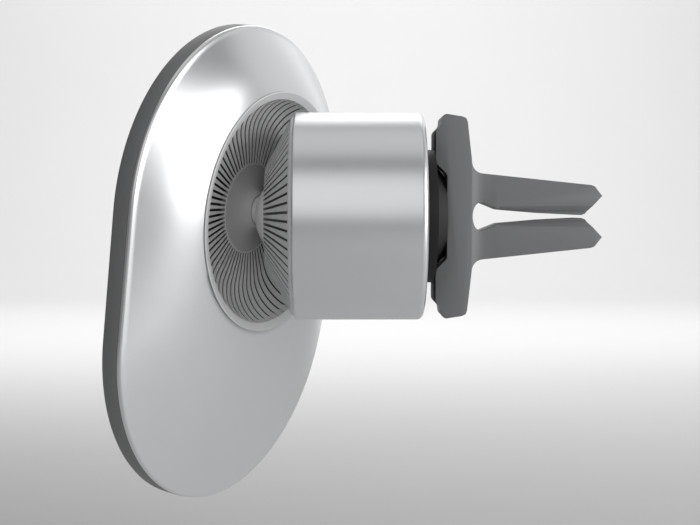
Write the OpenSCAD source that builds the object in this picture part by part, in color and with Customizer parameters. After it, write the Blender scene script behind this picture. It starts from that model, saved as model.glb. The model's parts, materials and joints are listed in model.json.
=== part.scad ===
// Magnetic phone mount for a car air vent.
// The barrel lies along X: the clip and its prongs point to +X, the phone plate faces -X.
// The origin is the centre of the round relief at the root of the prong slot.

/* [Phone plate] */
// Radius of the plate's round ends, mm
plate_r = 32.8; // [31:0.1:34]
// Distance of the lower round end's centre below the ball axis, mm
plate_drop = 21.6; // [16:0.2:26]
// Distance from the ball centre to the plate's front edge, mm
plate_front = 15.9; // [15.8:0.1:16.4]
// Height of the dark front shell's wall, mm
bezel_h = 3.4; // [3.2:0.1:3.8]
// Yaw of the plate in the stored pose, degrees
plate_yaw = 29; // [0:1:30]
// Forward tilt of the plate in the stored pose, degrees
plate_tilt = 7.6; // [0:0.1:8]
// Roll of the plate in the stored pose, degrees
plate_roll = 1.5; // [-180:0.1:180]

/* [Ribbed bowl and nose] */
// Number of radial slots in the bowl and in the nose
slot_count = 69; // [48:1:72]
// Width of one slot, mm
slot_w = 0.46; // [0.3:0.02:0.5]
// Depth of one slot, mm
slot_d = 0.9; // [0.5:0.1:1.0]
// Radius of the bowl's mouth, mm
bowl_r = 20.3; // [20:0.1:20.6]

/* [Ball joint] */
// Radius of the ball, mm
ball_r = 8.2; // [8:0.05:8.3]
// Radial clearance of the ball in its socket, mm
ball_gap = 0.05; // [0.02:0.01:0.1]
// Radius of the ball's neck, mm
neck_r = 2.6; // [2:0.1:2.6]

/* [Barrel] */
// Outer radius of the barrel, mm
barrel_r = 18.4; // [18:0.1:18.6]
// Length of the barrel, mm
barrel_len = 22.7; // [22:0.1:24]

/* [Vent clip] */
// Height of the clip's cross bar, mm
bar_h = 35.6; // [34:0.2:37]
// Depth of the cross bar, mm
bar_y = 11.4; // [10:0.2:13]
// Depth of each prong, mm
prong_y = 9; // [8:0.2:10]
// Length of the prongs past the relief's centre, mm
prong_len = 21.2; // [18:0.2:24]

/* [Hidden] */
$fn = 96;
eps = 0.02;

// Stations along the barrel's axis, X
barrel_rear = -10;
barrel_front = barrel_rear - barrel_len;
ball_x = barrel_front + 1.1;
nose_x = ball_x - 6.2;
nose_r = 8.9;
rim_x = barrel_front - 0.5;
rim_r = 17.7;
collar_x = barrel_rear - 0.1;
bar_x = -8;
notch_x = -6;
bar_back = -1.7;
hub_r = 8.9;

// Stations along the plate's axis, from the ball centre, positive towards the barrel
bezel_z = -plate_front;
seam_z = bezel_z + bezel_h;
mouth_z = -5.6;
floor_z = -10.8;
floor_r = 13.5;
dish_r = 8;
mouth_rise = mouth_z - floor_z;
mouth_run = bowl_r - floor_r;
bowl_arc = (mouth_run * mouth_run + mouth_rise * mouth_rise) / (2 * mouth_rise);
bowl_sweep = asin(mouth_run / bowl_arc);
lip_r = 21.7;
lip_z = mouth_z + 0.35;
cover_wall = 1.3;

// Inner parts of the plate
magnet_r0 = 23;
magnet_r1 = 28;
magnet_count = 16;
magnet_z = bezel_z + 1.6;
magnet_t = 1.7;
yoke_t = 0.5;
align_y = -39.5;
shank_r = 1.9;
stud_end = floor_z - 3.1;
screw_r = 0.8;
frame_screw_at = [[-12, 12], [12, 12], [-12, -12], [12, -12]];
lobe_screw_at = [[-17, -40], [17, -40]];

// Inner parts of the barrel
sleeve_wall = 1.5;
sleeve_ir = barrel_r - sleeve_wall;
socket_r = ball_r + ball_gap;
mouth_a = 5;
skirt_r = 11;
skirt_end = -15.7;
shaft_r = 4;
shaft_gap = 0.05;
barrel_screw_n = 3;
barrel_screw_r = 14;

// ---- Placing ----

// Turns a shape drawn around Z so that it lies around the barrel's axis
module along_x(x = 0) {
    translate([x, 0, 0]) rotate([90, 0, 90]) children();
}

// Places the plate's own frame: Z is the plate's axis, Y its long side, origin at the ball
module on_plate() {
    translate([ball_x, 0, 0])
        rotate([plate_roll, plate_tilt, -plate_yaw])
            rotate([90, 0, 90]) children();
}

// ---- Shapes used more than once ----

// A ring around Z
module ring(r1, r0, h) {
    difference() {
        cylinder(r = r1, h = h);
        translate([0, 0, -1]) cylinder(r = r0, h = h + 2);
    }
}

// The plate's outline, two round ends joined by straight sides, inset by d
module outline_2d(d = 0) {
    circle(r = plate_r - d, $fn = 180);
    translate([0, -plate_drop]) circle(r = plate_r - d, $fn = 180);
    translate([-(plate_r - d), -plate_drop]) square([2 * (plate_r - d), plate_drop]);
}

// A slab of the plate's outline from z0 to z1
module slab(z0, z1, d = 0) {
    translate([0, 0, z0]) linear_extrude(z1 - z0) outline_2d(d);
}

// A thin slab of one round end, for the hull of the back cover
module end_disc(y, z, r) {
    translate([0, y, z]) cylinder(r = r, h = 0.3, $fn = 144);
}

// The back cover's solid form, shrunk by d
module cover_form(d = 0) {
    hull() {
        end_disc(0, seam_z - d, plate_r - 1.1 * d);
        end_disc(-plate_drop, seam_z - d, plate_r - 1.1 * d);
        end_disc(0, seam_z + 0.8 - d, plate_r - 0.6 - 1.1 * d);
        end_disc(-plate_drop, seam_z + 0.8 - d, plate_r - 0.6 - 1.1 * d);
        end_disc(0, seam_z + 3.6 - d, plate_r - 5.3 - d);
        end_disc(-plate_drop, seam_z + 2.3 - d, plate_r - 8.6 - d);
        end_disc(0, lip_z - 0.6 - d, lip_r - 0.5 * d);
    }
}

// A radial blade of the given half section, for cutting one slot
module slot_blade(points) {
    rotate([90, 0, 0])
        translate([0, 0, -slot_w / 2])
            linear_extrude(slot_w) polygon(points);
}

// A cap screw along Z with its head's top at z = 0 and its shank below
module cap_screw(head_r, head_h, shank, length) {
    difference() {
        translate([0, 0, -head_h]) cylinder(r = head_r, h = head_h);
        translate([0, 0, -head_h * 0.6]) cylinder(r = head_r * 0.5, h = head_h, $fn = 6);
    }
    translate([0, 0, -head_h - length]) cylinder(r = shank, h = length + eps);
}

// ---- Phone plate ----

// Soft face that the phone rests on
module front_pad() {
    color([0.12, 0.12, 0.13])
        on_plate() slab(bezel_z - 0.3, bezel_z + 0.6, 2.2);
}

// Dark front shell, the band seen around the plate's edge
module front_shell() {
    color([0.36, 0.37, 0.38])
        on_plate() difference() {
            slab(bezel_z, seam_z);
            slab(bezel_z - 1, bezel_z + 0.6, 2.1);
            slab(bezel_z + 1.5, seam_z + 1, 1.5);
        }
}

// Ring of alternating arc magnets
module magnet_ring() {
    gap = 1.2;
    color([0.6, 0.6, 0.62])
        on_plate() for (i = [0:magnet_count - 1])
            rotate([0, 0, i * 360 / magnet_count + gap / 2])
                translate([0, 0, magnet_z])
                    rotate_extrude(angle = 360 / magnet_count - gap)
                        translate([magnet_r0, 0])
                            square([magnet_r1 - magnet_r0, magnet_t]);
}

// Steel ring that closes the magnets' field behind them
module magnet_yoke() {
    color([0.55, 0.56, 0.58])
        on_plate() translate([0, 0, magnet_z + magnet_t])
            ring(magnet_r1, magnet_r0, yoke_t);
}

// Bar magnet that keeps the phone upright
module alignment_magnet() {
    color([0.6, 0.6, 0.62])
        on_plate() translate([-7, align_y - 2.5, magnet_z]) cube([14, 5, magnet_t]);
}

// Moulded frame that holds the magnets inside the plate
module magnet_frame() {
    color([0.2, 0.2, 0.21])
        on_plate() difference() {
            slab(bezel_z + 1.5, seam_z - 0.1, 1.6);
            translate([0, 0, magnet_z]) ring(magnet_r1 + eps, magnet_r0 - eps, 5);
            translate([-7.02, align_y - 2.52, magnet_z]) cube([14.04, 5.04, 5]);
            translate([0, 0, bezel_z]) cylinder(r = 7.5, h = 6);
            for (p = concat(frame_screw_at, lobe_screw_at))
                translate([p[0], p[1], bezel_z]) cylinder(r = screw_r, h = 6);
            for (p = concat(frame_screw_at, lobe_screw_at))
                translate([p[0], p[1], bezel_z]) cylinder(r = 1.6, h = 2.3);
        }
}

// Screws from the frame into the bowl and the back cover
module frame_screws() {
    color([0.75, 0.75, 0.77])
        on_plate() for (p = concat(frame_screw_at, lobe_screw_at))
            translate([p[0], p[1], bezel_z + 1.5])
                mirror([0, 0, 1]) cap_screw(1.5, 0.8, screw_r, 2.1);
}

// Silver back cover, a shallow dome from the plate's edge up to the bowl
module back_cover() {
    color([0.78, 0.79, 0.80])
        on_plate() difference() {
            cover_form();
            difference() {
                cover_form(cover_wall);
                for (p = lobe_screw_at)
                    translate([p[0], p[1], seam_z - 5]) cylinder(r = 2.4, h = 12);
            }
            slab(seam_z - 5, seam_z, -1);
            translate([0, 0, seam_z - 5]) cylinder(r = lip_r - 0.5, h = 15, $fn = 144);
            for (p = lobe_screw_at)
                translate([p[0], p[1], seam_z - 1]) cylinder(r = screw_r, h = 2.3);
        }
}

// Plain trim ring around the bowl's mouth
module bowl_lip() {
    color([0.66, 0.67, 0.68])
        on_plate() rotate_extrude($fn = 180)
            polygon([
                [bowl_r, mouth_z - 2.2], [lip_r - 0.5, mouth_z - 2.2], [lip_r - 0.5, lip_z - 0.3],
                [lip_r, lip_z - 0.15], [lip_r, lip_z], [lip_r - 0.2, lip_z + 0.1], [bowl_r, mouth_z]
            ]);
}

// Points of the bowl's curved wall, lowered by d, from its flat floor up to its mouth
function bowl_wall(d) = [
    for (i = [0:10])
        let (a = bowl_sweep * i / 10)
            [floor_r + (bowl_arc + d) * sin(a), floor_z + bowl_arc - (bowl_arc + d) * cos(a)]
];

// Ribbed bowl in the middle of the plate's back
module ribbed_bowl() {
    under = 1.5;
    color([0.42, 0.43, 0.43])
        on_plate() difference() {
            rotate_extrude($fn = 180) polygon(concat(
                [[dish_r, floor_z - under], [dish_r, floor_z]],
                bowl_wall(0),
                [[bowl_r, mouth_z - 2.8], [bowl_r - 2.2, floor_z - under]]
            ));
            for (i = [0:slot_count - 1])
                rotate([0, 0, (i + 0.5) * 360 / slot_count])
                    slot_blade(concat(
                        [[dish_r + 0.25, floor_z + 1], [dish_r + 0.25, floor_z - slot_d]],
                        [for (p = bowl_wall(slot_d)) [p[0] - 0.3, p[1]]],
                        [[bowl_r - 0.3, mouth_z + 1]]
                    ));
            for (p = frame_screw_at)
                translate([p[0], p[1], floor_z - 4]) cylinder(r = screw_r, h = 3.6);
        }
}

// Smooth dish in the middle of the bowl, flared up round the stud's neck
module centre_dish() {
    color([0.45, 0.47, 0.47])
        on_plate() rotate_extrude($fn = 144) polygon([
            [shank_r + 0.05, floor_z - 1.5], [dish_r, floor_z - 1.5], [dish_r, floor_z - 0.05],
            [7.4, floor_z - 0.05], [6.5, floor_z - 0.02], [5.6, floor_z + 0.08],
            [4.8, floor_z + 0.25], [4.1, floor_z + 0.55], [3.6, floor_z + 0.95],
            [3.25, floor_z + 1.4], [3.05, floor_z + 1.85], [2.95, floor_z + 1.95],
            [neck_r + 0.1, floor_z + 1.95], [neck_r + 0.1, floor_z - 0.2],
            [shank_r + 0.05, floor_z - 0.2]
        ]);
}

// ---- Ball stud ----

// Ball, neck and shank in one turned piece
module ball_stud() {
    neck_top = -sqrt(ball_r * ball_r - neck_r * neck_r);
    shoulder = floor_z - 0.15;
    color([0.5, 0.52, 0.52])
        on_plate() {
            sphere(r = ball_r, $fn = 144);
            rotate_extrude() polygon([
                [0, neck_top + 1], [neck_r, neck_top + 0.2], [neck_r, shoulder], [shank_r, shoulder],
                [shank_r, stud_end + 0.2], [shank_r - 0.2, stud_end], [0, stud_end]
            ]);
        }
}

// Low-friction washer under the nut
module stud_washer() {
    color([0.9, 0.9, 0.86])
        on_plate() translate([0, 0, floor_z - 1.93]) ring(4.6, shank_r, 0.4);
}

// Nut that holds the plate on the stud
module stud_nut() {
    color([0.75, 0.75, 0.77])
        on_plate() translate([0, 0, stud_end]) difference() {
            cylinder(r = 3.9, h = 1.15, $fn = 6);
            translate([0, 0, -1]) cylinder(r = shank_r, h = 4);
        }
}

// ---- Ball seat ----

// Ring that presses the ball towards the nose
module seat_ring() {
    color([0.85, 0.85, 0.82])
        along_x() difference() {
            translate([0, 0, ball_x + 4.2]) cylinder(r = socket_r, h = 5.8);
            translate([0, 0, ball_x]) sphere(r = socket_r, $fn = 144);
            translate([0, 0, ball_x]) cylinder(r = 3.5, h = 12);
        }
}

// ---- Barrel ----

// Silver sleeve around the barrel
module barrel_sleeve() {
    soft = 0.35;
    cham = 1.1;
    color([0.75, 0.76, 0.77])
        along_x() rotate_extrude($fn = 180) polygon([
            [sleeve_ir, barrel_front + 0.15], [barrel_r - soft, barrel_front],
            [barrel_r - 0.1, barrel_front + 0.12], [barrel_r, barrel_front + soft],
            [barrel_r, barrel_rear - cham], [barrel_r - 0.2, barrel_rear - 0.5],
            [barrel_r - 0.55, barrel_rear - 0.15], [barrel_r - cham, barrel_rear],
            [sleeve_ir, barrel_rear]
        ]);
}

// Points of the nose's flared face, lowered by d, from the rim to the nose's end
function nose_face(d) = [
    for (s = [0:0.25:1])
        [rim_r - 0.15 + (nose_r - rim_r + 0.15) * s - 0.47 * d, rim_x + (nose_x - rim_x) * s + 0.88 * d]
];

// Ribbed nose cone with the front half of the ball's socket
module nose_cone() {
    flange_x = ball_x + 2.7;
    mouth_r = sqrt(socket_r * socket_r - mouth_a * mouth_a);
    color([0.62, 0.63, 0.64])
        along_x() difference() {
            rotate_extrude($fn = 180) polygon(concat(
                [[0, nose_x + 0.02], [0, skirt_end], [skirt_r, skirt_end], [skirt_r, flange_x],
                 [sleeve_ir, flange_x], [sleeve_ir, barrel_front], [rim_r, barrel_front],
                 [rim_r, rim_x + 0.15]],
                nose_face(0)
            ));
            translate([0, 0, ball_x]) sphere(r = socket_r, $fn = 144);
            translate([0, 0, ball_x]) cylinder(r = socket_r + 0.03, h = 30);
            translate([0, 0, nose_x - 0.5]) cylinder(r1 = 8.35, r2 = mouth_r, h = 1.7);
            translate([0, 0, nose_x - 1]) cylinder(r = mouth_r - 0.02, h = 4);
            for (i = [0:slot_count - 1])
                rotate([0, 0, i * 360 / slot_count])
                    slot_blade(concat(
                        [[rim_r - 0.45, rim_x - 3]],
                        [for (p = nose_face(slot_d)) [p[0] + 0.25, p[1]]],
                        [[nose_r - 0.75, nose_x - 3]]
                    ));
            for (i = [0:barrel_screw_n - 1])
                rotate([0, 0, i * 360 / barrel_screw_n])
                    translate([barrel_screw_r, 0, ball_x + 1.2]) cylinder(r = 1, h = 3);
        }
}

// Stack of conical springs behind the seat
module disc_springs() {
    color([0.7, 0.7, 0.72])
        along_x() for (i = [0:2]) {
            flip = i % 2;
            translate([0, 0, ball_x + 10.05 + i * 0.95])
                rotate_extrude() polygon([
                    [4, flip * 0.45], [8, (1 - flip) * 0.45],
                    [8, (1 - flip) * 0.45 + 0.45], [4, flip * 0.45 + 0.45]
                ]);
        }
}

// Threaded ring that sets the ball's friction
module preload_ring() {
    x = ball_x + 12.86;
    color([0.72, 0.62, 0.35])
        along_x() difference() {
            translate([0, 0, x]) cylinder(r = socket_r + 0.03, h = 2.6);
            translate([0, 0, x - 1]) cylinder(r = 5.9, h = 6);
            for (a = [0, 180])
                rotate([0, 0, a]) translate([7, 0, x + 1.2]) cylinder(r = 0.6, h = 3);
        }
}

// Core that joins the nose to the rear plate and carries the swivel shaft
module barrel_core() {
    wall_x = ball_x + 2.7;
    color([0.25, 0.25, 0.26])
        along_x() difference() {
            union() {
                translate([0, 0, -15.5]) cylinder(r = sleeve_ir, h = 4.2);
                translate([0, 0, wall_x]) ring(sleeve_ir, 15.6, -14 - wall_x);
                for (i = [0:barrel_screw_n - 1])
                    rotate([0, 0, i * 360 / barrel_screw_n])
                        translate([barrel_screw_r, 0, wall_x]) cylinder(r = 2.4, h = -14 - wall_x);
            }
            translate([0, 0, -20]) cylinder(r = shaft_r + shaft_gap, h = 12);
            for (i = [0:barrel_screw_n - 1])
                rotate([0, 0, i * 360 / barrel_screw_n])
                    translate([barrel_screw_r, 0, wall_x - 1]) cylinder(r = 1, h = 30);
            for (i = [0:barrel_screw_n - 1])
                rotate([0, 0, i * 360 / barrel_screw_n])
                    translate([barrel_screw_r, 0, -13]) cylinder(r = 1.9, h = 5);
            translate([0, 0, -40]) ring(20, sleeve_ir, 40);
        }
}

// Long screws that hold the core to the nose
module barrel_screws() {
    color([0.75, 0.75, 0.77])
        along_x() for (i = [0:barrel_screw_n - 1])
            rotate([0, 0, i * 360 / barrel_screw_n])
                translate([barrel_screw_r, 0, -11.6])
                    cap_screw(1.8, 1.4, 1, -13 - (ball_x + 1.4));
}

// Dark plate that closes the barrel's rear
module rear_plate() {
    color([0.08, 0.08, 0.09])
        along_x() translate([0, 0, -11.3]) ring(sleeve_ir, 9.3, 0.9);
}

// Thin washer between the barrel and the clip's collar
module swivel_washer() {
    color([0.9, 0.9, 0.86])
        along_x() translate([0, 0, -11.3]) ring(9.2, shaft_r + 0.2, 1.15);
}

// Clip ring that keeps the shaft in the core
module shaft_clip() {
    color([0.55, 0.56, 0.58])
        along_x() translate([0, 0, -16.1]) difference() {
            ring(5.4, 3.4, 0.5);
            translate([0, -1.2, -1]) cube([8, 2.4, 3]);
        }
}

// ---- Vent clip ----

// Steel shaft that the barrel swivels on
module swivel_shaft() {
    color([0.7, 0.7, 0.72])
        along_x() difference() {
            translate([0, 0, -16.7]) cylinder(r = shaft_r, h = 16.7 + notch_x);
            translate([0, 0, -16.15]) ring(shaft_r + 1, 3.4, 0.6);
            translate([0, 0, -14.5]) cylinder(r = 1.25, h = 10);
        }
}

// Dark collar between the barrel and the clip
module swivel_collar() {
    color([0.06, 0.06, 0.07])
        along_x() difference() {
            union() {
                translate([0, 0, collar_x]) cylinder(r = 11.8, h = bar_x - collar_x);
                translate([0, 0, bar_x]) cylinder(r = hub_r, h = 0.3);
                translate([0, 0, bar_x + 0.3]) cylinder(r1 = hub_r, r2 = 7.0, h = notch_x - bar_x - 0.3);
            }
            translate([0, 0, -11]) cylinder(r = shaft_r, h = 8);
        }
}

// The same points in the opposite order
function reversed(points) = [for (i = [len(points) - 1:-1:0]) points[i]];

// Cross bar's half outline above the axis
function bar_half(s) = [
    [notch_x, 7.1 * s], [notch_x - 0.25, 7.6 * s], [bar_x + 0.3, 9 * s],
    [bar_x, 9.6 * s], [bar_x, 14.8 * s], [bar_x + 0.2, 15.25 * s], [bar_x + 1.0, 16.1 * s],
    [bar_x + 1.15, 16.5 * s], [bar_x + 1.2, (bar_h / 2 - 0.6) * s],
    [bar_x + 1.35, (bar_h / 2 - 0.2) * s], [bar_x + 1.8, bar_h / 2 * s],
    [-3.4, (bar_h / 2 - 0.45) * s],
    [-2.75, (bar_h / 2 - 0.75) * s], [-2.5, (bar_h / 2 - 1.4) * s],
    [bar_back, 9.4 * s]
];

// One prong's outline above the slot, for the side s = 1 or -1; both lap over the axis at the root
function prong_side(s) = [
    [bar_back - 0.5, -0.3 * s], [bar_back - 0.5, 9.2 * s],
    for (a = [0:15:90]) [bar_back + 2.1 - 2.1 * cos(a), (9.6 - 2.1 * sin(a)) * s],
    [prong_len - 1.9, 5.5 * s], [prong_len - 1.3, 5.25 * s], [prong_len, 3.6 * s],
    [prong_len - 2.9, 0.5 * s], [prong_len - 3.6, 0.25 * s],
    [10.6, 0.6 * s], [2.95, 1.25 * s], [2.95, -0.3 * s]
];

// Relief at the slot's root, a half oval drawn out towards the prongs
module relief_2d() {
    polygon(concat(
        [for (a = [90:10:270]) [1.55 * cos(a), 2.5 * sin(a)]],
        [[0.5, -2.4], [3.4, -1.2], [3.4, 1.2], [0.5, 2.4]]
    ));
}

// One side of the clip seen from above: the bar's depth, flaring in to the prongs' depth
function plan_half(s) = concat(
    [[bar_x, s * bar_y / 2]],
    [for (a = [0:15:90])
        [bar_back - 0.1 + 4.2 * (1 - cos(a)), s * (prong_y + (bar_y - prong_y) * (1 - sin(a))) / 2]],
    [[prong_len + 1, s * prong_y / 2]]
);

// Moulded clip: the cross bar and the two prongs that grip a vent blade
module vent_clip() {
    bevel = 1.3;
    color([0.40, 0.41, 0.42])
        difference() {
            intersection() {
                rotate([90, 0, 0]) translate([0, 0, -bar_y])
                    union() {
                        linear_extrude(2 * bar_y)
                            polygon(concat(bar_half(1), reversed(bar_half(-1))));
                        for (s = [1, -1])
                            linear_extrude(2 * bar_y) polygon(prong_side(s));
                    }
                translate([0, 0, -bar_h])
                    linear_extrude(2 * bar_h)
                        polygon(concat(plan_half(1), reversed(plan_half(-1))));
            }
            rotate([90, 0, 0]) translate([0, 0, -10]) linear_extrude(20) relief_2d();
            for (side = [1, -1])
                for (s = [1, -1])
                    translate([3.2, side * prong_y / 2, 0.9 * s])
                        rotate([45, 0, 0])
                            translate([0, -bevel / 2, -bevel / 2]) cube([prong_len, bevel, bevel]);
            along_x(-9) cylinder(r = 1.3, h = 9);
            along_x(bar_back - 2.2) cylinder(r = 2.3, h = 4);
        }
}

// Screw that clamps the clip to the shaft
module clip_screw() {
    color([0.75, 0.75, 0.77])
        along_x(-2.6) cap_screw(2.2, 1.2, 1.25, 10);
}

front_pad();
front_shell();
magnet_ring();
magnet_yoke();
alignment_magnet();
magnet_frame();
frame_screws();
back_cover();
bowl_lip();
ribbed_bowl();
centre_dish();
ball_stud();
stud_washer();
stud_nut();
seat_ring();
barrel_sleeve();
nose_cone();
disc_springs();
preload_ring();
barrel_core();
barrel_screws();
rear_plate();
swivel_washer();
shaft_clip();
swivel_shaft();
swivel_collar();
vent_clip();
clip_screw();
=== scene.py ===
"""Magnetic phone mount for a car air vent: its finishes, its smooth shells and a small studio."""

import json
import math

import bmesh
import bpy
from bpy.props import FloatProperty, FloatVectorProperty, IntProperty, PointerProperty
from mathutils import Matrix, Vector


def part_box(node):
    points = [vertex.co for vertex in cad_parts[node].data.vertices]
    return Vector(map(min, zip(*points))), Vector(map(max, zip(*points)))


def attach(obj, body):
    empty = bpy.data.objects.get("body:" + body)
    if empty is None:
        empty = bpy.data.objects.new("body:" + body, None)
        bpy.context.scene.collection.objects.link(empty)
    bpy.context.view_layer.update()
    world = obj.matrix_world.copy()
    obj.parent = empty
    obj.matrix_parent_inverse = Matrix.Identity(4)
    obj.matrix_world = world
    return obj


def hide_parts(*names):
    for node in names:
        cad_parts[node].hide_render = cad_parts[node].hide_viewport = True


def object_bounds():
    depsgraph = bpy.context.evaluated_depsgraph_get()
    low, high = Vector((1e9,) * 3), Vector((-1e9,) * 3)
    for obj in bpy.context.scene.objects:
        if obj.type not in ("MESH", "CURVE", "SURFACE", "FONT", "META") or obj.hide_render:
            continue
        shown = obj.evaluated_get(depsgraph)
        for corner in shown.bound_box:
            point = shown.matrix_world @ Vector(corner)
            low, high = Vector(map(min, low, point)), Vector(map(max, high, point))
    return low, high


bl_info = {
    "name": "Vent Phone Mount",
    "version": (1, 0, 0),
    "blender": (4, 5, 0),
    "location": "View3D > Sidebar > Phone Mount",
    "description": "Finishes a magnetic vent phone mount and sets up its studio",
    "category": "Object",
}

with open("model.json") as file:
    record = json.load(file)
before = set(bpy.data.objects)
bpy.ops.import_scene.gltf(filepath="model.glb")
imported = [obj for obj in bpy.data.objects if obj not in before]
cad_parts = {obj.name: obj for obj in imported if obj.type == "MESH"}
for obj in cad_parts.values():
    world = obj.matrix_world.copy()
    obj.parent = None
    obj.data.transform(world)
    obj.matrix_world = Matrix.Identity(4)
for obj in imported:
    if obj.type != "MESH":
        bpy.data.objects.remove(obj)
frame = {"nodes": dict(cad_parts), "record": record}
CAD_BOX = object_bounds()
NODES = frame["nodes"]
RECORD = frame["record"]
MM = 0.001

# Stations along the plate's own axis, from the ball centre, in millimetres
PLATE_R = 32.8
PLATE_DROP = 21.6
BEZEL_FRONT = -15.9
SEAM = -12.5
LIP_R = 21.7
LIP_TOP = -5.25
FLOOR = -10.8
FLOOR_R = 13.5
BOWL_ARC = 7.046
DISH_R = 8.0
EDGE_INSET = 0.05

# Sizes along the barrel: the sleeve's wall in millimetres, the nose's rim and tip in metres
SLEEVE_WALL = 1.5
RIM_R = 0.01755
RIM_X = -0.0332
TIP_R = 0.0089


def joint(name):
    """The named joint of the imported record."""
    for j in RECORD["behaviour"]["joints"]:
        if j["name"] == name:
            return j
    raise RuntimeError(f"the record has no joint named {name}")


def plate_matrix():
    """The plate's own frame: Z along its axis, Y up its long side, origin at the ball."""
    spin = joint("plate_spin")
    ball = Vector(spin["pos_m"])
    z = Vector(spin["axis"]).normalized()
    low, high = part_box("alignment_magnet")
    out = (Vector(low) + Vector(high)) / 2 - ball
    y = -(out - z * out.dot(z)).normalized()
    x = y.cross(z)
    m = Matrix((x, y, z)).transposed().to_4x4()
    m.translation = ball
    return m


def barrel_matrix():
    """The barrel's own frame: Z along the barrel towards the clip, origin at the part's origin."""
    return Matrix(((0, 0, 1), (1, 0, 0), (0, 1, 0))).to_4x4()


# ---- Shader maths ----


class Val:
    """A value or vector socket that takes part in Python expressions."""

    def __init__(self, finish, socket):
        self.finish = finish
        self.socket = socket

    def _math(self, operation, a, b=None, clamp=False):
        inputs = {0: a} if b is None else {0: a, 1: b}
        return self.finish.node("ShaderNodeMath", {"operation": operation, "use_clamp": clamp}, inputs)

    def __add__(self, other):
        return self._math("ADD", self, other)

    __radd__ = __add__

    def __sub__(self, other):
        return self._math("SUBTRACT", self, other)

    def __rsub__(self, other):
        return self._math("SUBTRACT", other, self)

    def __mul__(self, other):
        return self._math("MULTIPLY", self, other)

    __rmul__ = __mul__

    def __truediv__(self, other):
        return self._math("DIVIDE", self, other)

    def __rtruediv__(self, other):
        return self._math("DIVIDE", other, self)

    def __pow__(self, other):
        return self._math("POWER", self, other)

    def held(self):
        """The value held between 0 and 1."""
        return self._math("ADD", self, 0.0, clamp=True)

    def ramp(self, low, high):
        """0 below low, 1 above high, smooth between."""
        settings = {"interpolation_type": "SMOOTHSTEP"}
        inputs = {"Value": self, "From Min": low, "From Max": high}
        return self.finish.node("ShaderNodeMapRange", settings, inputs)


class Finish:
    """A procedural material built around one Principled shader."""

    def __init__(self, name, **constants):
        self.material = bpy.data.materials.new(name)
        self.material.use_nodes = True
        self.tree = self.material.node_tree
        self.shader = self.tree.nodes["Principled BSDF"]
        for key, value in constants.items():
            self.shader.inputs[key.replace("_", " ")].default_value = value

    def node(self, kind, settings=None, inputs=None, output=0):
        """Adds a node, sets its settings first, then its inputs, and gives its output."""
        made = self.tree.nodes.new(kind)
        for key, value in (settings or {}).items():
            setattr(made, key, value)
        for key, value in (inputs or {}).items():
            if isinstance(value, Val):
                self.tree.links.new(value.socket, made.inputs[key])
            else:
                made.inputs[key].default_value = value
        return Val(self, made.outputs[output])

    def place(self, matrix=None, scale=(1.0, 1.0, 1.0)):
        """Object coordinates in metres, turned into the given frame and then scaled."""
        at = self.node("ShaderNodeTexCoord", output="Object")
        if matrix is not None:
            inverse = matrix.inverted()
            at = self.node("ShaderNodeMapping", None, {
                "Vector": at,
                "Location": inverse.translation,
                "Rotation": inverse.to_euler("XYZ"),
            })
        return self.node("ShaderNodeMapping", None, {"Vector": at, "Scale": scale})

    def axis(self, vector, index):
        """One component of a vector."""
        return self.node("ShaderNodeSeparateXYZ", None, {0: vector}, output=index)

    def noise(self, at, scale, detail=2.0, rough=0.5):
        """Soft noise from 0 to 1."""
        return self.node("ShaderNodeTexNoise", None, {
            "Vector": at, "Scale": scale, "Detail": detail, "Roughness": rough,
        }, output=0)

    def mix(self, factor, a, b):
        """A colour between a and b."""
        inputs = {0: factor, 6: a, 7: b}
        return self.node("ShaderNodeMix", {"data_type": "RGBA"}, inputs, output=2)

    def put(self, name, value):
        """Feeds a value into one of the shader's own sockets."""
        self.tree.links.new(value.socket, self.shader.inputs[name])

    def bump(self, height, distance, strength=1.0):
        """Raises the surface by a height in metres times distance."""
        normal = self.node("ShaderNodeBump", None, {
            "Height": height, "Distance": distance, "Strength": strength,
        })
        self.put("Normal", normal)


def rgba(colour):
    """The colour with full alpha."""
    return (colour[0], colour[1], colour[2], 1.0)


def shade(colour, k):
    """The colour k times as bright, with full alpha."""
    return (colour[0] * k, colour[1] * k, colour[2] * k, 1.0)


def satin_silver(name, colour, roughness, matrix, grain=(600, 600, 600)):
    """Silver lacquer or anodising: even, fine-grained, with a faint cloudiness."""
    f = Finish(name, Metallic=0.86, Coat_Weight=0.12, Coat_Roughness=0.3)
    at = f.place(matrix)
    fine = f.noise(f.place(matrix, grain), 8.0, 3.0, 0.6)
    cloud = f.noise(at, 45.0, 2.0)
    f.put("Base Color", f.mix(cloud, shade(colour, 0.965), shade(colour, 1.02)))
    f.put("Roughness", fine * 0.06 + cloud * 0.03 + (roughness - 0.045))
    f.bump(fine, 0.000004, 0.35)
    return f.material


def moulded(name, colour, roughness, matrix=None, grain=2600.0, depth=0.000012, variation=0.06):
    """Moulded plastic: a fine spark-eroded grain and slight unevenness of tone."""
    f = Finish(name, IOR=1.48)
    at = f.place(matrix)
    fine = f.noise(at, grain, 2.0, 0.6)
    patch = f.noise(at, 70.0, 3.0)
    f.put("Base Color", f.mix(patch, shade(colour, 1 - variation), shade(colour, 1 + variation)))
    f.put("Roughness", fine * 0.1 + patch * 0.05 + (roughness - 0.07))
    f.bump(fine, depth, 0.5)
    return f.material


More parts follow.
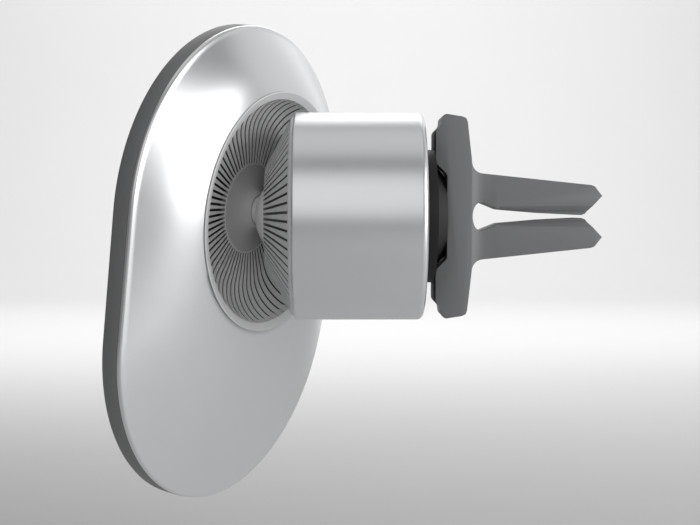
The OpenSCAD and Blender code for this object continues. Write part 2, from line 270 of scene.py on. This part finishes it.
def ribbed(name, rib, slot, roughness, matrix, inner, outer, depth_below):
    """Ribbed moulding with painted shade: the slots' floors and sides are painted darker than the
    ribs' faces, for the shade inside the slots.
    """
    f = Finish(name, IOR=1.48, Metallic=0.12)
    at = f.place(matrix)
    x, y, z = f.axis(at, 0), f.axis(at, 1), f.axis(at, 2)
    radius = (x * x + y * y) ** 0.5
    # Painted shade: the deeper the surface lies below the ribs' faces, the more of the darker slot
    # colour it gets.
    slot_shade_mask = depth_below(f, radius, z).ramp(0.00005, 0.00025)
    within = radius.ramp(inner - 0.0002, inner) * (1 - radius.ramp(outer, outer + 0.0001))
    fine = f.noise(at, 2600.0, 2.0, 0.6)
    f.put("Base Color", f.mix((slot_shade_mask * within).held(), rgba(rib), rgba(slot)))
    f.put("Roughness", fine * 0.1 + (roughness - 0.05))
    f.bump(fine, 0.00001, 0.4)
    return f.material


def metal(name, colour, roughness):
    """Plain metal for screws, springs and magnets, slightly uneven in tone."""
    f = Finish(name, Metallic=1.0)
    at = f.place()
    fine = f.noise(at, 1800.0, 2.0, 0.6)
    patch = f.noise(at, 240.0, 3.0)
    f.put("Base Color", f.mix(patch, shade(colour, 0.93), shade(colour, 1.04)))
    f.put("Roughness", fine * 0.12 + (roughness - 0.06))
    f.bump(fine, 0.000006, 0.3)
    return f.material


# ---- Modelling helpers ----


def choose(obj):
    """Makes obj the only selected object."""
    bpy.ops.object.select_all(action="DESELECT")
    obj.select_set(True)
    bpy.context.view_layer.objects.active = obj


def ring_points(radius, z, count, drop=0.0, shift=0.0):
    """An oblong ring of count points: two half circles, the lower one dropped, evenly spaced."""
    half = math.pi * radius
    total = 2 * half + 2 * drop
    points = []
    for i in range(count):
        s = (i / count * total + shift) % total
        if s < half:
            a = s / radius
            points.append((radius * math.cos(a), radius * math.sin(a), z))
        elif s < half + drop:
            points.append((-radius, -(s - half), z))
        elif s < 2 * half + drop:
            a = math.pi + (s - half - drop) / radius
            points.append((radius * math.cos(a), radius * math.sin(a) - drop, z))
        else:
            points.append((radius, -drop + (s - 2 * half - drop), z))
    return points


def face_outwards(obj, outwards):
    """Turns all faces round where most of them look against the outward direction."""
    total = sum(f.area * f.normal.dot(outwards(f.center)) for f in obj.data.polygons)
    if total < 0:
        bpy.ops.object.mode_set(mode="EDIT")
        bpy.ops.mesh.select_all(action="SELECT")
        bpy.ops.mesh.flip_normals()
        bpy.ops.object.mode_set(mode="OBJECT")


def sweep(name, rings, matrix, outwards, close_last=False):
    """A circle drawn out ring by ring, then placed in the given frame."""
    count = len(rings[0])
    bpy.ops.object.select_all(action="DESELECT")
    bpy.ops.mesh.primitive_circle_add(vertices=count, radius=0.01)
    obj = bpy.context.active_object
    obj.name = name
    obj.data.name = name
    bpy.ops.object.mode_set(mode="EDIT")
    bm = bmesh.from_edit_mesh(obj.data)
    order = bm.verts.layers.int.new("order")
    for i, v in enumerate(sorted(bm.verts, key=lambda v: v.index)):
        v[order] = i
        v.co = Vector(rings[0][i]) * MM
    bmesh.update_edit_mesh(obj.data)
    for ring in rings[1:]:
        bpy.ops.mesh.extrude_edges_move()
        bm = bmesh.from_edit_mesh(obj.data)
        order = bm.verts.layers.int["order"]
        for v in bm.verts:
            if v.select:
                v.co = Vector(ring[v[order]]) * MM
        bmesh.update_edit_mesh(obj.data)
    if close_last:
        bpy.ops.mesh.edge_face_add()
    bpy.ops.mesh.select_all(action="SELECT")
    bpy.ops.mesh.normals_make_consistent(inside=False)
    bpy.ops.object.mode_set(mode="OBJECT")
    face_outwards(obj, outwards)
    obj.matrix_world = matrix
    choose(obj)
    bpy.ops.object.transform_apply(location=True, rotation=True, scale=True)
    return obj


def upwards(at):
    """Outwards for a shell that looks along its own Z."""
    return Vector((0, 0, 1))


def downwards(at):
    """Outwards for a shell that looks against its own Z."""
    return Vector((0, 0, -1))


def sideways(at):
    """Outwards for a shell that looks away from its own Z axis."""
    return Vector((at.x, at.y, 0)).normalized()


def lathe(name, profile, matrix, outwards, steps=144):
    """A turned piece from its radius and height pairs."""
    rings = [ring_points(r, z, steps) for r, z in profile]
    return sweep(name, rings, matrix, outwards)


def smooth(obj, degrees=35.0):
    """Smooth shading that keeps true edges."""
    choose(obj)
    bpy.ops.object.shade_smooth_by_angle(angle=math.radians(degrees))


def apply(obj, kind, **settings):
    """Adds a modifier, sets it and applies it."""
    choose(obj)
    modifier = obj.modifiers.new(kind.title(), kind)
    for key, value in settings.items():
        setattr(modifier, key, value)
    bpy.ops.object.modifier_apply(modifier=modifier.name)


def copy_node(node, name, weld=0.000002):
    """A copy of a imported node's mesh, with its loose triangles merged into clean faces."""
    source = NODES[node]
    obj = bpy.data.objects.new(name, source.data.copy())
    obj.data.name = name
    bpy.context.collection.objects.link(obj)
    choose(obj)
    bpy.ops.object.mode_set(mode="EDIT")
    bpy.ops.mesh.select_all(action="SELECT")
    bpy.ops.mesh.remove_doubles(threshold=weld)
    bpy.ops.mesh.customdata_custom_splitnormals_clear()
    bpy.ops.mesh.select_all(action="SELECT")
    bpy.ops.mesh.dissolve_limited(angle_limit=math.radians(1.0))
    bpy.ops.object.mode_set(mode="OBJECT")
    obj.data.materials.clear()
    return obj


def finish_piece(obj, material, slot, body, *replaced):
    """Gives a new piece its material and body, and the nodes that it stands for; the slot is not used.
    """
    obj.data.materials.clear()
    obj.data.materials.append(material)
    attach(obj, body)
    if replaced:
        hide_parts(*replaced)


def dress(node, material):
    """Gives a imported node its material."""
    obj = NODES[node]
    if not obj.data.materials:
        obj.data.materials.append(material)
    for i in range(len(obj.data.materials)):
        obj.data.materials[i] = material


# ---- Sizes and colours ----


class MountSettings(bpy.types.PropertyGroup):
    """Sizes and colours of the phone mount."""

    silver: FloatVectorProperty(
        name="Silver", description="Colour of the silver shells", subtype="COLOR",
        size=3, min=0, max=1, default=(0.66, 0.67, 0.68),
    )
    trim: FloatVectorProperty(
        name="Trim", description="Colour of the nose and the bowl's trim ring", subtype="COLOR",
        size=3, min=0, max=1, default=(0.56, 0.565, 0.57),
    )
    bowl: FloatVectorProperty(
        name="Bowl", description="Colour of the ribbed bowl", subtype="COLOR",
        size=3, min=0, max=1, default=(0.74, 0.745, 0.74),
    )
    shell: FloatVectorProperty(
        name="Dark shell", description="Colour of the front shell and the clip", subtype="COLOR",
        size=3, min=0, max=1, default=(0.165, 0.168, 0.172),
    )
    cover_roughness: FloatProperty(
        name="Cover roughness", description="Roughness of the silver cover",
        min=0.05, max=1, default=0.3,
    )
    band: FloatProperty(
        name="Edge band", description="Height of the bright band round the cover, in millimetres",
        min=0.2, max=1.5, default=0.8,
    )
    steps: IntProperty(
        name="Steps", description="Points round each turned piece", min=48, max=360, default=180,
    )


def settings():
    """The scene's sizes and colours of the phone mount."""
    return bpy.context.scene.phone_mount


# ---- Pieces ----


class MOUNT_OT_back_cover(bpy.types.Operator):
    """The silver back cover, lofted from the oblong edge to the round bowl."""

    bl_idname = "phone_mount.back_cover"
    bl_label = "Back cover"

    def execute(self, context):
        s = settings()
        m = plate_matrix()
        count = 240
        edge_r = PLATE_R - EDGE_INSET
        edge = ring_points(edge_r, 0, count, PLATE_DROP)
        # Bearings seen from a point a little below the mouth spread the mouth's points evenly
        bearings = [math.atan2(y + 0.18 * PLATE_DROP, x) for x, y, _ in edge]
        rings = [[(x, y, SEAM + 0.02) for x, y, _ in edge]]
        rings.append([(x, y, SEAM + s.band * 0.5) for x, y, _ in edge])
        for inset, up in ((0.1, 0.78), (0.3, 0.95), (0.6, 1.06)):
            ring = ring_points(edge_r - inset, SEAM + s.band * up, count, PLATE_DROP)
            rings.append(ring)
        start_z = SEAM + s.band * 1.06
        top_z = LIP_TOP - 0.25
        inner = ring_points(edge_r - 0.6, 0, count, PLATE_DROP)
        steps = 26
        for i in range(1, steps + 1):
            k = i / steps
            z = start_z + (top_z - start_z) * (0.55 * k + 0.45 * math.sin(k * math.pi / 2))
            ring = []
            for j in range(count):
                x0, y0, _ = inner[j]
                x1, y1 = LIP_R * math.cos(bearings[j]), LIP_R * math.sin(bearings[j])
                ring.append((x0 + (x1 - x0) * k, y0 + (y1 - y0) * k, z))
            rings.append(ring)
        last = rings[-1]
        rings.append([(x * 0.985, y * 0.985, z - 0.12) for x, y, z in last])
        rings.append([(x * 0.977, y * 0.977, z - 1.2) for x, y, z in last])
        cover = sweep("silver_cover", rings, m, upwards)
        smooth(cover, 32)
        silver = satin_silver("silver_lacquer", s.silver, s.cover_roughness, m)
        finish_piece(cover, silver, "silver_cover", "plate", "back_cover")
        return {"FINISHED"}


class MOUNT_OT_front_shell(bpy.types.Operator):
    """The dark front shell, with softened edges, and the phone's pad."""

    bl_idname = "phone_mount.front_shell"
    bl_label = "Front shell"

    def execute(self, context):
        s = settings()
        m = plate_matrix()
        count = 200
        stations = (
            (2.15, BEZEL_FRONT + 0.62), (2.15, BEZEL_FRONT + 0.1), (1.95, BEZEL_FRONT),
            (0.75, BEZEL_FRONT), (0.42, BEZEL_FRONT + 0.06), (0.18, BEZEL_FRONT + 0.24),
            (0.04, BEZEL_FRONT + 0.52), (0.0, BEZEL_FRONT + 0.85), (0.0, SEAM - 0.2),
            (0.06, SEAM - 0.05), (0.35, SEAM), (1.5, SEAM),
        )
        rings = [ring_points(PLATE_R - d, z, count, PLATE_DROP) for d, z in stations]
        shell = sweep("front_band", rings, m, sideways)
        smooth(shell, 40)
        dark = moulded("dark_satin", s.shell, 0.52, m)
        finish_piece(shell, dark, "dark_shell", "plate", "front_shell")
        rings = [
            ring_points(PLATE_R - 2.25, BEZEL_FRONT + 0.6, count, PLATE_DROP),
            ring_points(PLATE_R - 2.25, BEZEL_FRONT - 0.12, count, PLATE_DROP),
            ring_points(PLATE_R - 2.32, BEZEL_FRONT - 0.24, count, PLATE_DROP),
            ring_points(PLATE_R - 2.5, BEZEL_FRONT - 0.3, count, PLATE_DROP),
            ring_points(PLATE_R - 12.0, BEZEL_FRONT - 0.3, count, PLATE_DROP),
        ]
        pad = sweep("phone_pad", rings, m, downwards, close_last=True)
        smooth(pad, 40)
        soft = moulded("soft_pad", (0.03, 0.03, 0.032), 0.75, m, grain=1500.0, depth=0.00003)
        finish_piece(pad, soft, "soft_pad", "plate", "front_pad")
        return {"FINISHED"}


class MOUNT_OT_bowl(bpy.types.Operator):
    """The ribbed bowl, its trim ring and the smooth dish in its middle."""

    bl_idname = "phone_mount.bowl"
    bl_label = "Bowl"

    def execute(self, context):
        s = settings()
        m = plate_matrix()

        def depth_below(f, radius, z):
            past_floor = radius - FLOOR_R * MM
            run = f.node("ShaderNodeMath", {"operation": "MAXIMUM"}, {0: past_floor, 1: 0.0})
            rise = (BOWL_ARC * BOWL_ARC * MM * MM - run * run) ** 0.5
            return ((BOWL_ARC + FLOOR) * MM - rise) - z

        # Painted shade: the slot colour is the bowl's own colour darkened to 7 percent, for the shade
        # inside the bowl's slots.
        slot = shade(s.bowl, 0.07)[:3]
        bowl = ribbed("ribbed_bowl", s.bowl, slot, 0.5, m, 0.0084, 0.0200, depth_below)
        dress("ribbed_bowl", bowl)
        trim = moulded("trim_satin", s.trim, 0.42, m)
        dress("bowl_lip", trim)
        profile = [
            (DISH_R, FLOOR - 0.5), (DISH_R, FLOOR - 0.12), (7.9, FLOOR - 0.05), (7.4, FLOOR - 0.05),
            (6.5, FLOOR - 0.02), (5.6, FLOOR + 0.08), (4.8, FLOOR + 0.25), (4.1, FLOOR + 0.55),
            (3.6, FLOOR + 0.95), (3.25, FLOOR + 1.4), (3.05, FLOOR + 1.85), (2.95, FLOOR + 1.95),
            (2.7, FLOOR + 1.95), (2.7, FLOOR + 0.5),
        ]
        dish = lathe("smooth_dish", profile, m, upwards)
        smooth(dish, 40)
        grey = moulded("dish_satin", shade(s.bowl, 0.66)[:3], 0.4, m)
        finish_piece(dish, grey, "grey_plastic", "plate", "centre_dish")
        return {"FINISHED"}


class MOUNT_OT_ball(bpy.types.Operator):
    """The ball stud."""

    bl_idname = "phone_mount.ball"
    bl_label = "Ball stud"

    def execute(self, context):
        s = settings()
        grey = moulded("ball_satin", shade(s.bowl, 0.95)[:3], 0.36, plate_matrix())
        dress("ball_stud", grey)
        return {"FINISHED"}


class MOUNT_OT_barrel(bpy.types.Operator):
    """The silver sleeve and the ribbed nose."""

    bl_idname = "phone_mount.barrel"
    bl_label = "Barrel"

    def execute(self, context):
        s = settings()
        m = barrel_matrix()
        low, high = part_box("barrel_sleeve")
        front, rear, radius = low[0] / MM, high[0] / MM, high[2] / MM
        wall = radius - SLEEVE_WALL
        crisp, soft = 0.42, 1.1
        profile = [
            (wall, front + 0.3), (wall, front + 0.12), (wall + 0.1, front), (radius - crisp, front),
        ]
        for i in range(1, 7):
            a = math.radians(15 * i)
            profile.append((radius - crisp + crisp * math.sin(a), front + crisp - crisp * math.cos(a)))
        profile.append((radius, rear - soft - 0.1))
        for i in range(0, 10):
            a = math.radians(10 * i)
            profile.append((radius - soft + soft * math.cos(a), rear - soft + soft * math.sin(a)))
        profile += [(wall + 0.1, rear), (wall, rear - 0.1), (wall, rear - 0.8)]
        sleeve = lathe("silver_barrel", profile, m, sideways, s.steps)
        smooth(sleeve, 30)
        silver = satin_silver("silver_anodised", s.silver, 0.33, m, (900, 900, 60))
        finish_piece(sleeve, silver, "silver_sleeve", "barrel", "barrel_sleeve")

        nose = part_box("nose_cone")[0][0]

        def depth_below(f, radius, z):
            return z - ((radius - TIP_R) * ((RIM_X - nose) / (RIM_R - TIP_R)) + nose)

        # Painted shade: the slot colour is the trim colour darkened to 35 percent, for the shade
        # inside the nose's slots.
        slot = shade(s.trim, 0.35)[:3]
        grey = ribbed("nose_trim", s.trim, slot, 0.42, m, 0.0083, 0.0172, depth_below)
        dress("nose_cone", grey)
        return {"FINISHED"}


class MOUNT_OT_clip(bpy.types.Operator):
    """The moulded vent clip with softened edges, its face towards the barrel painted black as shade,
    and the dark collar.
    """

    bl_idname = "phone_mount.clip"
    bl_label = "Vent clip"

    def execute(self, context):
        s = settings()
        clip = copy_node("vent_clip", "prong_clip")
        apply(clip, "BEVEL", width=0.00022, segments=2, limit_method="ANGLE",
              angle_limit=math.radians(28), use_clamp_overlap=True, harden_normals=False)
        smooth(clip, 25)
        dark = moulded("clip_satin", s.shell, 0.5)
        finish_piece(clip, dark, "dark_shell", "clip", "vent_clip")
        # Black satin for the collar and the rear plate, also used as painted shade on the clip's face
        # towards the barrel.
        black = moulded("black_satin_and_painted_shade", (0.006, 0.006, 0.0065), 0.55)
        clip.data.materials.append(black)
        # Painted shade: the clip's flat face towards the barrel, in the shaded gap behind it, gets the
        # black material in place of the clip's dark grey.
        inner = min(v.co.x for v in clip.data.vertices) + 0.0003
        for face in clip.data.polygons:
            if face.center.x < inner and face.normal.x < -0.9:
                face.material_index = 1
        dress("swivel_collar", black)
        dress("rear_plate", black)
        return {"FINISHED"}


class MOUNT_OT_insides(bpy.types.Operator):
    """The finishes of everything inside the plate and the barrel."""

    bl_idname = "phone_mount.insides"
    bl_label = "Insides"

    def execute(self, context):
        steel = metal("zinc_steel", (0.56, 0.56, 0.57), 0.32)
        nickel = metal("nickel_plate", (0.62, 0.61, 0.58), 0.22)
        brass = metal("turned_brass", (0.62, 0.46, 0.2), 0.3)
        black = moulded("inner_black", (0.014, 0.014, 0.015), 0.5)
        white = moulded("acetal", (0.72, 0.71, 0.68), 0.45)
        groups = (
            (steel, ("magnet_yoke", "frame_screws", "stud_nut", "disc_springs", "barrel_screws",
                     "shaft_clip", "swivel_shaft", "clip_screw")),
            (nickel, ("magnet_ring", "alignment_magnet")),
            (brass, ("preload_ring",)),
            (black, ("magnet_frame", "barrel_core")),
            (white, ("stud_washer", "seat_ring", "swivel_washer")),
        )
        for material, nodes in groups:
            for node in nodes:
                dress(node, material)
        return {"FINISHED"}


# ---- Studio ----


def softbox(name, place, aim, size, power, colour=(1.0, 1.0, 1.0)):
    """A square soft light at a place, turned to its aim, in metres and watts."""
    data = bpy.data.lights.new(name, "AREA")
    data.shape = "RECTANGLE"
    data.size, data.size_y = size
    data.energy = power
    data.color = colour
    light = bpy.data.objects.new(name, data)
    bpy.context.collection.objects.link(light)
    light.location = place
    direction = Vector(aim) - Vector(place)
    light.rotation_euler = direction.to_track_quat("-Z", "Y").to_euler()
    return light


def sweep_backdrop(name, height):
    """A pale floor that curves up into a backdrop, drawn out from a plane's far edge."""
    bpy.ops.object.select_all(action="DESELECT")
    bpy.ops.mesh.primitive_plane_add(size=7.0, location=(0, -1.5, height))
    floor = bpy.context.active_object
    floor.name = name
    bpy.ops.object.mode_set(mode="EDIT")
    bpy.ops.mesh.select_mode(type="EDGE")
    bm = bmesh.from_edit_mesh(floor.data)
    for edge in bm.edges:
        edge.select = all(v.co.y > 3.4 for v in edge.verts)
    bm.select_flush_mode()
    bmesh.update_edit_mesh(floor.data)
    for i in range(12):
        a = math.radians(7.5 * (i + 0.5))
        step = (0, 0.13 * math.cos(a), 0.13 * math.sin(a))
        bpy.ops.mesh.extrude_edges_move(TRANSFORM_OT_translate={"value": step})
    bpy.ops.mesh.extrude_edges_move(TRANSFORM_OT_translate={"value": (0, 0, 2.0)})
    bpy.ops.object.mode_set(mode="OBJECT")
    smooth(floor, 60)
    return floor


class MOUNT_OT_stage(bpy.types.Operator):
    """The pale floor, the soft lights and the camera."""

    bl_idname = "phone_mount.stage"
    bl_label = "Stage"

    def execute(self, context):
        scene = context.scene
        white = Finish("studio_white", Roughness=0.9)
        at = white.place()
        tone = white.noise(at, 3.0)
        white.put("Base Color", white.mix(tone, (0.64, 0.64, 0.64, 1), (0.66, 0.66, 0.66, 1)))
        floor = sweep_backdrop("studio_floor", CAD_BOX[0][2] - 0.12)
        floor.data.materials.append(white.material)

        world = bpy.data.worlds.new("studio_air")
        scene.world = world
        world.use_nodes = True
        air = world.node_tree.nodes["Background"]
        air.inputs["Color"].default_value = (1.0, 1.0, 1.0, 1.0)
        air.inputs["Strength"].default_value = 0.15

        centre = (-0.02, 0.0, 0.0)
        softbox("backdrop_light", (0.0, 0.9, 1.2), (0.0, 3.0, 0.5), (2.6, 0.8), 62.0)
        softbox("top_light", (-0.02, -0.02, 0.75), centre, (0.9, 0.6), 1.1)
        softbox("rear_light", (-0.06, 0.42, 0.40), centre, (0.5, 0.3), 0.9)
        softbox("right_light", (0.55, -0.24, 0.12), centre, (0.5, 0.5), 3.0)
        softbox("side_light", (0.50, 0.50, 0.36), centre, (0.75, 0.65), 1.05)
        softbox("front_light", (-0.1, -0.7, 0.3), centre, (0.7, 0.7), 1.5)

        eye = Vector((-0.0243, -0.2143, 0.0016))
        look = Vector((0.0066, 0.9989, -0.0459)).normalized()
        data = bpy.data.cameras.new("studio_camera")
        data.sensor_width = 36.0
        data.lens = data.sensor_width * 12.0 / 7.0
        data.clip_start = 0.01
        camera = bpy.data.objects.new("studio_camera", data)
        bpy.context.collection.objects.link(camera)
        camera.location = eye
        camera.rotation_euler = look.to_track_quat("-Z", "Y").to_euler()
        scene.camera = camera
        scene.view_settings.view_transform = "Standard"
        return {"FINISHED"}


class MOUNT_PT_panel(bpy.types.Panel):
    """The sidebar panel that lists the pieces."""

    bl_idname = "MOUNT_PT_panel"
    bl_label = "Phone Mount"
    bl_space_type = "VIEW_3D"
    bl_region_type = "UI"
    bl_category = "Phone Mount"

    def draw(self, context):
        column = self.layout.column()
        for name in MountSettings.__annotations__:
            column.prop(context.scene.phone_mount, name)
        for operator in PIECES:
            column.operator(operator.bl_idname)


PIECES = (
    MOUNT_OT_back_cover, MOUNT_OT_front_shell, MOUNT_OT_bowl, MOUNT_OT_ball,
    MOUNT_OT_barrel, MOUNT_OT_clip, MOUNT_OT_insides, MOUNT_OT_stage,
)
CLASSES = (MountSettings, *PIECES, MOUNT_PT_panel)


def register():
    for cls in CLASSES:
        bpy.utils.register_class(cls)
    bpy.types.Scene.phone_mount = PointerProperty(type=MountSettings)


def unregister():
    del bpy.types.Scene.phone_mount
    for cls in reversed(CLASSES):
        bpy.utils.unregister_class(cls)


def main():
    register()
    bpy.ops.phone_mount.back_cover()
    bpy.ops.phone_mount.front_shell()
    bpy.ops.phone_mount.bowl()
    bpy.ops.phone_mount.ball()
    bpy.ops.phone_mount.barrel()
    bpy.ops.phone_mount.clip()
    bpy.ops.phone_mount.insides()
    bpy.ops.phone_mount.stage()


if __name__ == "__main__":
    main()
